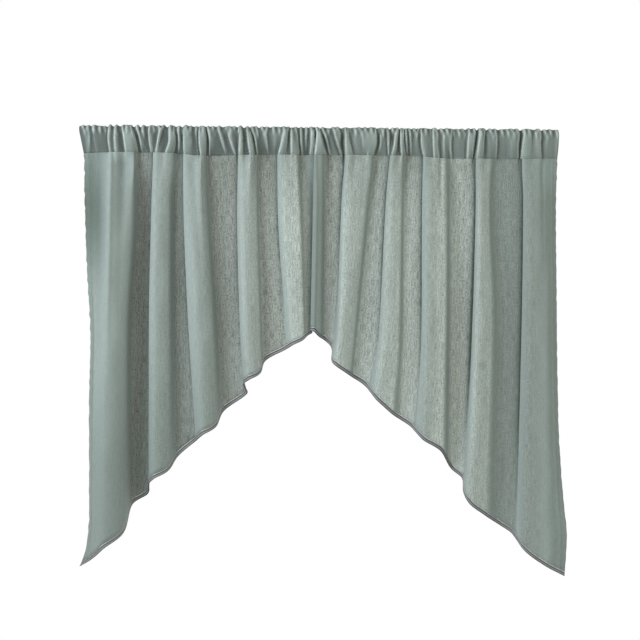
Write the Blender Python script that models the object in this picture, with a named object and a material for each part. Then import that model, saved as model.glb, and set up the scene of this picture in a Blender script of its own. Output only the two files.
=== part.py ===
"""A pair of cafe curtains that hang from gathered rod pockets and meet in an inverted V.

Each curtain is a panel of sheer linen-look cloth, the rod pocket at its head and the narrow edging
that binds its slanted hem. The origin is on the top edge, where the two curtains meet. X runs to the
right as seen from the room, Y away from the room and Z up. The tables are in millimetres, and a drop
is a distance below the top edge.
"""

from collections import namedtuple

import bpy
import numpy as np

MM = 0.001

# Cloth and sewing sizes
CLOTH = 1.2
SEWING_GAP = 0.3
HEM_GAP = 0.5
EDGING_WIDTH = 8.0
EDGING_THICKNESS = 2.2
EDGING_SHOULDER = 2.5

# Rod pocket, with room for a rod of 22 mm
POCKET_RADIUS = 14.0
POCKET_AXIS_DROP = 16.5
POCKET_BOW = 2.0
POCKET_INWARD = -1.5
STITCHED_BAND = 3.0

# Section of the pocket from the seam up its front wall, over the rod and down its back wall: heights
# up a wall, angles over the rod, and how far a gather pushes each point out (less than 0 is towards
# the room) and lifts it
WALL_HEIGHTS = (0.0, 0.33, 0.67, 1.0)
ARCH_ANGLES = (135.0, 90.0, 45.0)
GATHER_PUSH = (0.0, -0.43, -0.62, -0.8, -0.45, 0.0, 0.3, 0.4, 0.27, 0.13, 0.0)
GATHER_LIFT = (0.0, 0.0, 0.0, 0.0, 0.35, 0.55, 0.35, 0.0, 0.0, 0.0, 0.0)

# Drops at which the fold tables give their widths and places
UPPER_DROP = 148.0
MIDDLE_DROP = 414.0
LEAST_SPACING = 55.0

# How deep the folds are under the seam and on their way down, as a share of their full depth
SEAM_DEPTHS = {"tuck": 2.0, "edge": -3.0, "crest": -8.0, "shoulder": -4.0, "valley": 5.0}
UPPER_SHARE = 0.62
TUCK_SHARES = (0.0, 0.0, 0.2, 0.28)
TUCK_START = -2.0
TUCK_DEPTH_SHARE = 0.3
CURL_REACH = 26.0

# Spacing of the mesh columns along the cloth, the share of the drop at which it holds and the share at
# which the curve through the folds is measured
PANEL_SPACING = 12.0
POCKET_SPACING = 6.5
PANEL_SHARE = 0.6
POCKET_SHARE = 0.0
CURVE_SHARE = 0.8
LEAST_COLUMNS = 2

# The hem's steepness is measured over this share of a stretch to both sides, and raises the edging's
# height up to a limit
HEM_STEP = 0.1
SHORT_RUN = 0.01
MOST_STEEP = 1.7

# Rows from the seam to the hem
ROW_SHARES = (0.0, 0.035, 0.08, 0.14, 0.21, 0.3, 0.4, 0.51, 0.63, 0.75, 0.86, 0.94, 1.0)

# A fold of the cloth, which laps over the valley on its left.
#   edge: where its leading edge runs, at the top, seam, upper drop, middle drop and hem
#   width: from that edge to the bottom of the valley on its right, at the seam and below
#   crest_at, shoulder_at: shares of the width
#   depth: how far edge, crest, shoulder and valley stand behind the rod's line
#   hem: drops of the cloth's lower edge at the tuck, edge, crest, shoulder and valley
#   lap: how far the tuck lies past the edge at the hem
Fold = namedtuple("Fold", "edge width crest_at shoulder_at depth hem lap")

LEFT_FOLDS = (
    Fold((-478, -470, -464, -455, -470), (110, 104, 80, 92), 0.46, 0.88,
         (-18, -50, -28, 22), (910, 910, 867, 838, 790), 0),
    Fold((-334, -328, -331, -337, -338), (50, 46, 53, 56), 0.22, 0.72,
         (-8, -19, -6, 14), (763, 738, 725, 710, 686), -5),
    Fold((-262, -267, -266, -255, -239), (53, 56, 62, 53), 0.30, 0.76,
         (-12, -28, -14, 12), (652, 645, 630, 616, 589), -6),
    Fold((-151, -155, -156, -149, -141), (42, 45, 47, 42), 0.28, 0.82,
         (-20, -43, -30, -13), (547, 526, 514, 501, 480), 6),
    Fold((-63, -75, -74, -55, -51), (49, 53, 45, 39), 0.30, 0.78,
         (-17, -25, -20, -12), (455, 451, 443, 434, 426), -6),
)
RIGHT_FOLDS = (
    Fold((1, -3, -2, -5, -5), (28, 28, 30, 30), 0.22, 0.57,
         (-16, -20, -10, 5), (415, 415, 416, 427, 437), 0),
    Fold((61, 62, 56, 48, 39), (63, 62, 46, 46), 0.17, 0.74,
         (-18, -36, -24, -7), (452, 474, 484, 503, 513), 0),
    Fold((159, 154, 146, 135, 118), (33, 40, 53, 63), 0.20, 0.70,
         (-22, -37, -30, -20), (531, 538, 553, 582, 596), -7),
    Fold((214, 221, 219, 221, 213), (61, 66, 68, 78), 0.18, 0.66,
         (-32, -43, -28, 6), (612, 620, 634, 659, 703), -8),
    Fold((332, 328, 328, 325, 314), (50, 43, 64, 77), 0.12, 0.54,
         (-26, -44, -34, -15), (723, 745, 764, 790, 816), 0),
    Fold((426, 422, 424, 425, 425), (67, 63, 74, 99), 0.14, 0.58,
         (-30, -50, -42, -30), (833, 843, 861, 894, 918), -8),
)

# The free edges of each curtain, from the top edge down: drop, place across and depth
Rim = namedtuple("Rim", "drop across depth")
LEFT_OUTER_RIM = (
    Rim(0, -478, 0), Rim(58, -470, 0), Rim(148, -465, -20), Rim(300, -459, -28), Rim(430, -453, -28),
    Rim(560, -457, -26), Rim(800, -459, -24), Rim(862, -464, -23), Rim(888, -471, -22),
    Rim(910, -480, -22),
)
LEFT_INNER_RIM = (Rim(0, -0.3, 0), Rim(58, -2, 3), Rim(148, 1, 4), Rim(421, -2, 2))
RIGHT_INNER_RIM = (Rim(0, 0.4, -6), Rim(58, -1.2, -8), Rim(148, -2, -12), Rim(415, -5, -16))
RIGHT_OUTER_RIM = (
    Rim(0, 493, 0), Rim(59, 494, 0), Rim(148, 491, -12), Rim(330, 495, -22), Rim(600, 505, -28),
    Rim(760, 519, -30), Rim(835, 528, -31), Rim(918, 525, -32),
)

# The stitched seam under the pockets, which the gathers lift and drop: place across and drop
SEAM = ((-480, 58), (-375, 54), (-274, 56), (-240, 60), (-100, 57), (135, 56), (194, 56), (265, 61),
        (391, 61), (500, 59))

# Small gathers of the pocket: place across at the top and at the seam, half width, how far it stands
# out, and how far below the seam it dies away
Gather = namedtuple("Gather", "top seam half_width height reach")
GATHERS = (
    Gather(-446, -446, 13, -3.0, 560), Gather(-413, -414, 9, 5.5, 480),
    Gather(-372, -368, 9, 6.0, 340), Gather(-353, -350, 7, 2.5, 60),
    Gather(-312, -316, 8, 4.0, 60), Gather(-228, -224, 9, 4.5, 130), Gather(-204, -186, 7, 2.5, 40),
    Gather(-182, -168, 7, 2.5, 40), Gather(-130, -118, 8, 3.0, 60), Gather(-42, -36, 8, 3.0, 50),
    Gather(-16, -20, 6, 2.5, 30), Gather(10, 20, 8, 3.0, 60), Gather(38, 50, 7, 3.0, 40),
    Gather(112, 120, 10, 3.0, 60), Gather(168, 156, 8, 3.5, 50), Gather(190, 198, 9, 3.0, 60),
    Gather(246, 262, 12, 3.0, 110), Gather(300, 302, 8, 3.0, 110), Gather(362, 366, 9, 3.0, 170),
    Gather(398, 396, 10, 3.5, 60), Gather(456, 462, 10, 3.5, 60),
)

SAGE = (0.30, 0.36, 0.31, 1.0)
GREY = (0.20, 0.21, 0.20, 1.0)

Line = namedtuple("Line", "drops across depths hem")


def eased(at, places, values):
    """Values joined by cubics that don't overshoot. The places ascend."""
    places = np.asarray(places, float)
    values = np.asarray(values, float)
    at = np.clip(at, places[0], places[-1])
    gaps = np.diff(places)
    rises = np.diff(values) / gaps
    before, after = rises[:-1], rises[1:]
    same_way = before * after > 0
    mean = np.divide(2 * before * after, before + after, out=np.zeros_like(before), where=same_way)
    slopes = np.concatenate([rises[:1], mean, rises[-1:]])
    k = np.clip(np.searchsorted(places, at, side="right") - 1, 0, len(gaps) - 1)
    t = (at - places[k]) / gaps[k]
    start = (1 + 2 * t) * (1 - t) ** 2 * values[k] + t * (1 - t) ** 2 * gaps[k] * slopes[k]
    end = t**2 * (3 - 2 * t) * values[k + 1] + t**2 * (t - 1) * gaps[k] * slopes[k + 1]
    return start + end


def seam_drop(across):
    return eased(across, [row[0] for row in SEAM], [row[1] for row in SEAM])


def rim_line(rims):
    drops, across, depths = zip(*rims)
    return Line(drops, across, depths, drops[-1])


def fold_line(kind, across, full_depth, hem):
    """One line of a fold from the pocket's top to the hem, such as its crest."""
    seam = SEAM_DEPTHS[kind]
    upper = seam + UPPER_SHARE * (full_depth - seam)
    drops = [0.0, seam_drop(across[1]), UPPER_DROP, MIDDLE_DROP, hem]
    depths = [seam, seam, upper, full_depth, full_depth]
    across = list(across)
    if hem - MIDDLE_DROP < LEAST_SPACING:
        for row in (drops, depths, across):
            del row[3]
    return Line(drops, across, depths, hem)


def curled(line, across):
    """The same line, but it swings out to its place at the hem only just above it."""
    drops = line.drops[:-1] + [line.hem - CURL_REACH, line.hem]
    places = line.across[:-1] + [across, line.across[-1]]
    return line._replace(drops=drops, across=places, depths=line.depths + line.depths[-1:])


def fold_lines(fold, valley_depth):
    """Lines of the tuck, edge, crest, shoulder and valley. valley_depth: of the fold on its left."""
    edge = np.array(fold.edge, float)
    width = np.array(fold.width[:1] + fold.width, float)
    tuck_depth = valley_depth + TUCK_DEPTH_SHARE * (fold.depth[0] - valley_depth)
    tuck = edge.copy()
    tuck[:-1] += TUCK_START + np.array(TUCK_SHARES) * (valley_depth - fold.depth[1])
    tuck[-1] += fold.lap
    tuck_line = fold_line("tuck", tuck, tuck_depth, fold.hem[0])
    if fold.lap > 0:
        tuck_line = curled(tuck_line, edge[-1] + TUCK_START)
    return [
        tuck_line,
        fold_line("edge", edge, fold.depth[0], fold.hem[1]),
        fold_line("crest", edge + fold.crest_at * width, fold.depth[1], fold.hem[2]),
        fold_line("shoulder", edge + fold.shoulder_at * width, fold.depth[2], fold.hem[3]),
        fold_line("valley", edge + width, fold.depth[3], fold.hem[4]),
    ]


def left_lines():
    lines = [rim_line(LEFT_OUTER_RIM)] + fold_lines(LEFT_FOLDS[0], 0)[2:]
    for before, fold in zip(LEFT_FOLDS, LEFT_FOLDS[1:]):
        lines += fold_lines(fold, before.depth[3])
    return lines + [rim_line(LEFT_INNER_RIM)]


def right_lines():
    lines = [rim_line(RIGHT_INNER_RIM)] + fold_lines(RIGHT_FOLDS[0], 0)[2:]
    for before, fold in zip(RIGHT_FOLDS, RIGHT_FOLDS[1:]):
        lines += fold_lines(fold, before.depth[3])
    return lines[:-1] + [rim_line(RIGHT_OUTER_RIM)]


def places_at(line, drops):
    """Across and depth of one line at these drops, still at its hem below that."""
    return np.stack([eased(drops, line.drops, line.across), eased(drops, line.drops, line.depths)])


def line_spots(lines, share):
    return np.array([places_at(line, np.array([share * line.hem]))[:, 0] for line in lines])


def column_places(lines, spacing, drop_share):
    """(stretch, share) of each column of the mesh. The spacing holds at a share of the drop."""
    spots = line_spots(lines, drop_share)
    places = []
    for k, length in enumerate(np.linalg.norm(np.diff(spots, axis=0), axis=1)):
        count = max(LEAST_COLUMNS, round(length / spacing))
        places += [(k, step / count) for step in range(count)]
    return places + [(len(lines) - 2, 1.0)]


def panel_columns(lines):
    return column_places(lines, PANEL_SPACING, PANEL_SHARE)


def pocket_columns(lines):
    return column_places(lines, POCKET_SPACING, POCKET_SHARE)


def stretch_lengths(lines):
    """Spacing of the lines for the curve through them, taken where the folds are full."""
    return np.sqrt(np.linalg.norm(np.diff(line_spots(lines, CURVE_SHARE), axis=0), axis=1))


def through(values, lengths, k, share):
    """A smooth curve through the values of all lines, at a share of stretch k."""
    first, last = values(k), values(k + 1)
    rise = (last - first) / lengths[k]
    leaving = arriving = rise
    if k > 0:
        earlier = (first - values(k - 1)) / lengths[k - 1]
        leaving = (earlier * lengths[k] + rise * lengths[k - 1]) / (lengths[k] + lengths[k - 1])
    if k + 1 < len(lengths):
        later = (values(k + 2) - last) / lengths[k + 1]
        arriving = (later * lengths[k] + rise * lengths[k + 1]) / (lengths[k] + lengths[k + 1])
    t = share
    return (
        (1 + 2 * t) * (1 - t) ** 2 * first
        + t * (1 - t) ** 2 * lengths[k] * leaving
        + t**2 * (3 - 2 * t) * last
        + t**2 * (t - 1) * lengths[k] * arriving
    )


def curve_point(lines, lengths, k, share, drops):
    """Across and depth of the cloth at a share of stretch k, for each drop."""
    return through(lambda line: places_at(lines[line], drops), lengths, k, share)


def gathers_below(across, below_seam):
    """How far the pocket's gathers still push the cloth out, this far below the seam."""
    push = np.zeros_like(across)
    for gather in GATHERS:
        fade = np.clip(1 - below_seam / gather.reach, 0, 1) ** 2
        push += gather.height * fade * np.exp(-(((across - gather.seam) / gather.half_width) ** 2))
    return push


def hem_drop(lines, lengths, k, share):
    return through(lambda line: float(lines[line].hem), lengths, k, share)


def edging_height(lines, lengths, k, share):
    """Height of the edging, more where the hem is steep, so that the band keeps its width."""
    ends = (max(share - HEM_STEP, 0.0), min(share + HEM_STEP, 1.0))
    drops = [hem_drop(lines, lengths, k, end) for end in ends]
    spots = [curve_point(lines, lengths, k, end, np.array([drop])) for end, drop in zip(ends, drops)]
    run = max(np.linalg.norm(spots[1] - spots[0]), SHORT_RUN)
    return EDGING_WIDTH * min(np.hypot(1, (drops[1] - drops[0]) / run), MOST_STEEP)


def panel_sheet(lines):
    """Points of the middle of the cloth: columns across, rows from the seam down to the edging."""
    lengths = stretch_lengths(lines)
    shares = np.array(ROW_SHARES)
    sheet = []
    for k, share in panel_columns(lines):
        at_seam = curve_point(lines, lengths, k, share, np.array([seam_drop(0.0)]))[0]
        start = seam_drop(at_seam)[0] + SEWING_GAP
        end = hem_drop(lines, lengths, k, share) - edging_height(lines, lengths, k, share)
        drops = start + shares * (end - start)
        across, depth = curve_point(lines, lengths, k, share, drops)
        depth = depth - gathers_below(across, drops - start)
        sheet.append(np.stack([across, depth, -drops], axis=1))
    return np.array(sheet)


def sheet_normals(sheet):
    """Level unit normals of a grid of points, towards the room where the cloth faces it."""
    along = np.gradient(sheet, axis=0)
    down = np.gradient(sheet, axis=1)
    normals = np.cross(down, along)
    normals[:, :, 2] = 0
    return normals / np.linalg.norm(normals, axis=2, keepdims=True)


def grid_faces(columns, rows, start, flip):
    """Quads of a grid of points numbered from start, column by column."""
    faces = []
    for i in range(columns - 1):
        for j in range(rows - 1):
            a = start + i * rows + j
            face = (a, a + rows, a + rows + 1, a + 1)
            faces.append(face[::-1] if flip else face)
    return faces


def rim_faces(columns, rows, back):
    """Quads that join the free edges of a front grid to those of the grid behind it."""
    loop = [(i, 0) for i in range(columns)]
    loop += [(columns - 1, j) for j in range(1, rows)]
    loop += [(i, rows - 1) for i in range(columns - 2, -1, -1)]
    loop += [(0, j) for j in range(rows - 2, 0, -1)]
    numbers = [i * rows + j for i, j in loop]
    return [(a, b, b + back, a + back) for a, b in zip(numbers, numbers[1:] + numbers[:1])]


def add_solid(name, points, faces, material):
    mesh = bpy.data.meshes.new(name)
    mesh.from_pydata([tuple(point) for point in points * MM], [], faces)
    mesh.materials.append(material)
    mesh.shade_smooth()
    mesh.update()
    solid = bpy.data.objects.new(name, mesh)
    bpy.context.collection.objects.link(solid)
    return solid


def add_sheet(name, sheet, thickness, material):
    """A closed sheet round a grid of middle points. thickness: one for all rows, or one for each."""
    offset = sheet_normals(sheet) * np.reshape(thickness, (-1, 1)) / 2
    columns, rows = sheet.shape[:2]
    points = np.concatenate([(sheet + offset).reshape(-1, 3), (sheet - offset).reshape(-1, 3)])
    count = columns * rows
    faces = grid_faces(columns, rows, 0, True) + grid_faces(columns, rows, count, False)
    return add_solid(name, points, faces + rim_faces(columns, rows, count), material)


def add_panel(name, lines, material):
    """The hanging cloth, from the seam down to the edging."""
    return add_sheet(name, panel_sheet(lines), CLOTH, material)


def closed_tube(outer, inner):
    """Faces of a tube open at both ends, from rings of outer and then of inner points."""
    columns, ring = outer.shape[:2]
    count = columns * ring
    faces = []
    for i in range(columns - 1):
        for k in range(ring):
            a, b = i * ring + k, i * ring + (k + 1) % ring
            faces.append((a, a + ring, b + ring, b))
            faces.append((count + a, count + b, count + b + ring, count + a + ring))
    for k in range(ring):
        a, b = k, (k + 1) % ring
        faces.append((a, b, count + b, count + a))
        a, b = a + (columns - 1) * ring, b + (columns - 1) * ring
        faces.append((b, a, count + a, count + b))
    return faces


def gather_push(across, up):
    """How far the gathers push the pocket's cloth out. up: 0 at the seam and 1 at the top."""
    push = np.zeros_like(across)
    for gather in GATHERS:
        centre = gather.seam + up * (gather.top - gather.seam)
        push += gather.height * np.exp(-(((across - centre) / gather.half_width) ** 2))
    return push


def pocket_ring(lines, lengths, k, share):
    """Middle of the pocket's wall round the rod at one column: up the front and down the back."""
    seam_across, seam_depth = curve_point(lines, lengths, k, share, np.array([seam_drop(0.0)]))[:, 0]
    seam = seam_drop(seam_across)
    wall = np.array(WALL_HEIGHTS)
    turn = np.radians(ARCH_ANGLES)
    front_depth = seam_depth + wall * (-POCKET_RADIUS - seam_depth) - POCKET_BOW * np.sin(np.pi * wall)
    back_depth = seam_depth + wall * (POCKET_RADIUS - seam_depth)
    wall_drop = seam + wall * (POCKET_AXIS_DROP - seam)
    depth = np.concatenate([front_depth, POCKET_RADIUS * np.cos(turn), back_depth[::-1]])
    arch_drop = POCKET_AXIS_DROP - POCKET_RADIUS * np.sin(turn)
    drop = np.concatenate([wall_drop, arch_drop, wall_drop[::-1]])
    up = (seam - drop) / seam
    across = curve_point(lines, lengths, k, share, drop)[0]
    push = np.maximum(gather_push(across, up) + max(-seam_depth, POCKET_INWARD), POCKET_INWARD)
    depth = depth + np.array(GATHER_PUSH) * push
    return np.stack([across, depth, -drop + np.array(GATHER_LIFT) * push], axis=1)


def add_pocket(name, lines, material):
    """The gathered sleeve that the rod passes through, sewn shut along the seam."""
    lengths = stretch_lengths(lines)
    rings = [pocket_ring(lines, lengths, k, share) for k, share in pocket_columns(lines)]
    rings = np.array(rings)
    along = np.gradient(rings, axis=0)
    round_ring = np.gradient(rings, axis=1)
    normals = np.cross(along, round_ring)
    normals /= np.linalg.norm(normals, axis=2, keepdims=True)
    outer = rings + normals * CLOTH / 2
    inner = rings - normals * CLOTH / 2
    for k, side in ((0, -1), (-1, 1)):
        outer[:, k] = rings[:, k] + np.array([0, side * CLOTH, 0])
        inner[:, k] = rings[:, k] + np.array([0, side * SEWING_GAP, STITCHED_BAND])
    points = np.concatenate([outer.reshape(-1, 3), inner.reshape(-1, 3)])
    return add_solid(name, points, closed_tube(outer, inner), material)


def add_edging(name, lines, material):
    """The narrow bound edge under the slanted hem."""
    lengths = stretch_lengths(lines)
    path = []
    for k, share in panel_columns(lines):
        low = hem_drop(lines, lengths, k, share)
        height = edging_height(lines, lengths, k, share)
        steepness = height / EDGING_WIDTH
        high = low - height + steepness * HEM_GAP
        drops = np.array([high, high + steepness * EDGING_SHOULDER, low])
        across, depth = curve_point(lines, lengths, k, share, drops)
        path.append(np.stack([across, depth, -drops], axis=1))
    path = np.array(path)
    thickness = np.array([CLOTH, EDGING_THICKNESS, EDGING_THICKNESS])
    return add_sheet(name, path, thickness, material)


def cloth_material(name, colour):
    material = bpy.data.materials.new(name)
    material.use_nodes = True
    shader = material.node_tree.nodes["Principled BSDF"]
    shader.inputs["Base Color"].default_value = colour
    shader.inputs["Roughness"].default_value = 0.9
    shader.inputs["Metallic"].default_value = 0.0
    return material


def main():
    for thing in list(bpy.data.objects):
        bpy.data.objects.remove(thing)
    for side, lines in (("left", left_lines()), ("right", right_lines())):
        add_panel(f"panel_{side}", lines, cloth_material(f"sage_cloth_{side}", SAGE))
        add_pocket(f"pocket_{side}", lines, cloth_material(f"sage_pocket_{side}", SAGE))
        add_edging(f"edging_{side}", lines, cloth_material(f"grey_edging_{side}", GREY))


main()
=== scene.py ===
# %% [markdown]
# # A pair of sheer cafe curtains
#
# Two curtains hang from one rod. Each is a gathered rod pocket, a panel of sheer linen-look cloth and
# a narrow bound edge along the slanted hem. Cloth like this could be simulated, but a simulation
# seldom lands on the folds that one wants. Here each fold is a row of a table instead, and a smooth
# curve through the folds gives the cloth at every height.

from collections import namedtuple

import bpy
import numpy as np
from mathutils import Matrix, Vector


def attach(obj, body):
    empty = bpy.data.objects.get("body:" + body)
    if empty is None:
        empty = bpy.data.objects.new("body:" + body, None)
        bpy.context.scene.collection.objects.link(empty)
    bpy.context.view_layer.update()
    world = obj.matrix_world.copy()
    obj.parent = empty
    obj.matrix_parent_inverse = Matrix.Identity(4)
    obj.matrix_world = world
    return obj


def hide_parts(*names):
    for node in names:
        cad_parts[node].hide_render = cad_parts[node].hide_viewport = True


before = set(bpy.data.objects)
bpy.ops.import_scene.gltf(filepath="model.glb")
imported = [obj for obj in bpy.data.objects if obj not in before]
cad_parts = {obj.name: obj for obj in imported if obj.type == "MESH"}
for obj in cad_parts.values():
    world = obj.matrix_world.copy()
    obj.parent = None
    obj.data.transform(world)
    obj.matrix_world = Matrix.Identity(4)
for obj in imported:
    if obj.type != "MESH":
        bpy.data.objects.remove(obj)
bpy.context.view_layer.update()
MM = 0.001
print("nodes:", sorted(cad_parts))

# %% [markdown]
# ## The folds
#
# A fold laps over the valley on its left, so seen from above the cloth is a row of leaning waves. Five
# lines run down each fold: the tuck that hides behind its leading edge, the edge itself, the crest,
# the shoulder and the bottom of the valley. Each row below gives where they run, in millimetres from
# the middle of the pair, and how deep they stand. A drop is a distance below the top edge.

# %% Fold tables
UPPER_DROP = 148.0
MIDDLE_DROP = 414.0
LEAST_SPACING = 55.0
SEAM_DEPTHS = {"tuck": 2.0, "edge": -3.0, "crest": -8.0, "shoulder": -4.0, "valley": 5.0}
UPPER_SHARE = 0.62
TUCK_SHARES = (0.0, 0.0, 0.2, 0.28)
TUCK_START = -2.0
TUCK_DEPTH_SHARE = 0.3
CURL_REACH = 26.0

# edge: places across at the top, seam, upper drop, middle drop and hem. width: from there to the
# valley. depth: of edge, crest, shoulder and valley. hem: drops of tuck, edge, crest, shoulder and
# valley. lap: how far the tuck lies past the edge at the hem. sheer: how far the eye looks through
# the cloth at crest, shoulder and valley, into a painted colour. glow: how much painted light,
# standing for light that comes through the cloth, shows there.
Fold = namedtuple("Fold", "edge width crest_at shoulder_at depth hem lap sheer glow")
LEFT_FOLDS = (
    Fold((-478, -470, -464, -455, -470), (110, 104, 80, 92), 0.46, 0.88,
         (-18, -50, -28, 22), (910, 910, 867, 838, 790), 0, (0.0, 0.05, 0.9), (0.27, 0.31, 0.31)),
    Fold((-334, -328, -331, -337, -338), (50, 46, 53, 56), 0.22, 0.72,
         (-8, -19, -6, 14), (763, 738, 725, 710, 686), -5, (0.2, 0.3, 0.8), (0.44, 0.44, 0.2)),
    Fold((-262, -267, -266, -255, -239), (53, 56, 62, 53), 0.30, 0.76,
         (-12, -28, -14, 12), (652, 645, 630, 616, 589), -6, (0.15, 0.3, 1.0), (0.4, 0.4, 0.37)),
    Fold((-151, -155, -156, -149, -141), (42, 45, 47, 42), 0.28, 0.82,
         (-20, -43, -30, -13), (547, 526, 514, 501, 480), 6, (0.3, 0.5, 1.0), (0.71, 0.65, 0.36)),
    Fold((-63, -75, -74, -55, -51), (49, 53, 45, 39), 0.30, 0.78,
         (-17, -25, -20, -12), (455, 451, 443, 434, 426), -6, (0.6, 0.9, 0.9), (0.76, 0.78, 0.46)),
)
RIGHT_FOLDS = (
    Fold((1, -3, -2, -5, -5), (28, 28, 30, 30), 0.22, 0.57,
         (-16, -20, -10, 5), (415, 415, 416, 427, 437), 0, (0.0, 0.1, 1.0), (0.22, 0.24, 0.46)),
    Fold((61, 62, 56, 48, 39), (63, 62, 46, 46), 0.17, 0.74,
         (-18, -36, -24, -7), (452, 474, 484, 503, 513), 0, (0.6, 0.5, 0.9), (0.75, 0.73, 0.63)),
    Fold((159, 154, 146, 135, 118), (33, 40, 53, 63), 0.20, 0.70,
         (-22, -37, -30, -20), (531, 538, 553, 582, 596), -7, (0.5, 0.6, 0.9), (0.71, 0.83, 0.58)),
    Fold((214, 221, 219, 221, 213), (61, 66, 68, 78), 0.18, 0.66,
         (-32, -43, -28, 6), (612, 620, 634, 659, 703), -8, (0.4, 0.9, 1.0), (0.48, 1.0, 0.76)),
    Fold((332, 328, 328, 325, 314), (50, 43, 64, 77), 0.12, 0.54,
         (-26, -44, -34, -15), (723, 745, 764, 790, 816), 0, (0.5, 0.5, 0.5), (0.71, 0.75, 0.1)),
    Fold((426, 422, 424, 425, 425), (67, 63, 74, 99), 0.14, 0.58,
         (-30, -50, -42, -30), (833, 843, 861, 894, 918), -8, (0.4, 0.05, 0.05), (0.08, 0.23, 0.27)),
)
Rim = namedtuple("Rim", "drop across depth")
LEFT_OUTER_RIM = (
    Rim(0, -478, 0), Rim(58, -470, 0), Rim(148, -465, -20), Rim(300, -459, -28), Rim(430, -453, -28),
    Rim(560, -457, -26), Rim(800, -459, -24), Rim(862, -464, -23), Rim(888, -471, -22),
    Rim(910, -480, -22),
)
LEFT_INNER_RIM = (Rim(0, -0.2, 0), Rim(58, -1.6, 3), Rim(148, 1, 4), Rim(421, -2, 2))
RIGHT_INNER_RIM = (Rim(0, 0.2, -6), Rim(58, -1.3, -8), Rim(148, -2, -12), Rim(415, -5, -16))
RIGHT_OUTER_RIM = (
    Rim(0, 493, 0), Rim(59, 494, 0), Rim(148, 491, -12), Rim(330, 495, -22), Rim(600, 505, -28),
    Rim(760, 519, -30), Rim(835, 528, -31), Rim(918, 525, -32),
)
SEAM = ((-480, 58), (-375, 54), (-274, 56), (-240, 60), (-100, 57), (135, 56), (194, 56), (265, 61),
        (391, 61), (500, 59))
print("folds:", len(LEFT_FOLDS), "left and", len(RIGHT_FOLDS), "right")

# %% [markdown]
# ## Ruffles on the rod
#
# Cloth that is pushed together on a rod stands out in narrow ridges with sharp creases between them.
# Each row of the ruffle table is one ridge or one crease. It says where the row runs at the top, half
# way and at the seam, and how far the cloth stands out at those three heights. A cubic that never
# overshoots joins the rows, so rows that lie close together make a sharp edge.

# %% Ruffle tables
Ruffle = namedtuple("Ruffle", "top middle seam top_rise middle_rise seam_rise")
LEFT_RUFFLES = tuple(Ruffle(*row) for row in (
    (-476.5, -468.5, -467.5, 0, 0, 0), (-463.5, -457, -460.5, 2, 2, 1),
    (-455.5, -450, -450, 0, -0.5, -0.5), (-449.5, -445.5, -442, 3, 0, 0),
    (-441, -435, -434, 1.5, -0.5, -1), (-419.5, -420.5, -419, -1, -2, -2),
    (-415, -416.5, -414.5, 4, 5, 4.5), (-407.5, -408, -407.5, 0, 1, 1.5), (-401.5, -404, -403, 4, 5, 4),
    (-393, -389.5, -387.5, -1, -1.5, -2), (-389, -384.5, -382, 5, 6, 6),
    (-373.5, -365.5, -361, 4, 5, 4.5), (-369.5, -358.5, -357, -1.5, -2.5, -2.5),
    (-359, -353.5, -350.5, 3.5, 1.5, -1.5), (-353.5, -350.5, -346.5, -1.5, 1, -1.5),
    (-348, -347, -343.5, 3.5, 0.5, -1.5), (-338, -338.5, -337, 0, -2, -2),
    (-333, -334, -332, 4.5, 4.5, 3), (-320.5, -320.5, -326.5, 2, -1, 0.5),
    (-307, -315, -321.5, 5, 6, 5), (-302.5, -309, -315, -0.5, 1, 3),
    (-299, -298.5, -307, -0.5, -1.5, 0), (-292.5, -292.5, -300.5, 4.5, 5, 4),
    (-286.5, -283, -288.5, 4, 3.5, 2), (-282.5, -279, -282.5, -1, -2, -2),
    (-275.5, -275, -278, 3, 1, -1.8), (-271, -268, -268, -1, -2.5, -2.5),
    (-262.5, -264, -264.5, 4.5, 6, 5), (-252, -251.5, -256, 3.5, 3.5, 2.5),
    (-248.5, -241, -237.5, -0.5, -1, -1), (-241, -238.5, -235.5, 3, -0.5, -1),
    (-236.5, -236.5, -234, -1, -2, -2), (-232.5, -233, -230.5, 4, 5.5, 5),
    (-224, -221.5, -223, 3, 4, 3.5), (-220.5, -216.5, -218.5, -0.5, -3, -2),
    (-216.5, -212.5, -214.5, 3, 2.5, -0.5), (-203, -194, -185, 1.5, -0.5, -1),
    (-195, -188, -180, 3.5, 2.5, -0.8), (-184.5, -178, -171, 0, -1.5, -1.2),
    (-178, -170, -161, 3.5, 3, 0.5), (-166.5, -162.5, -159, 3, 1, -0.5),
    (-158.5, -156.5, -156.5, 1, -1, -1.5), (-153.5, -150.5, -153, 4.5, 5.5, 5),
    (-148.5, -146.5, -148.5, 3.5, 4.5, 4), (-143.5, -142.5, -140.5, -1, -1.5, -1.5),
    (-139.5, -138, -134.5, 0, -1, -2), (-137, -134.5, -130.5, 4, 5, 5), (-134, -127.5, -124, 3, 5, 4.5),
    (-132, -123.5, -119.5, -1, -3, -1.5), (-129, -120, -116, 3, 2, -0.5),
    (-119, -114.5, -109, 3.5, 1, -1), (-114, -108.5, -103, 0, 0, -1),
    (-100, -97.5, -94.5, 3.5, 2.5, -1), (-94, -93, -90.5, 0.5, 0, -1), (-82.5, -80, -84.5, 3, 2, -1),
    (-67.5, -71, -77, 2.5, 1, -1.5), (-61, -64, -73, 4.5, 6, 5), (-54.5, -57, -61, 3, 3.5, 2),
    (-49.5, -53, -51, -1, -2, 0), (-47, -46, -46.5, 3, 3, 4), (-42, -37.5, -35, 0.5, 1.5, 4),
    (-37.5, -34.5, -32, 3, 1.5, 3.5), (-32, -31.5, -29, 0, -2.5, -2.5), (-28, -27, -24.5, 3.5, 2.5, -1),
    (-22.5, -21.5, -19.5, -0.5, 0, -1.5), (-16, -18, -15.5, 3.5, 1, -1.5),
    (-12.5, -12.5, -13.5, 0.5, -1, -2), (-6.5, -6, -10, 4, 5, 5), (-1.5, -2, -5.5, 4, 4.5, 4.5),
))
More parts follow.
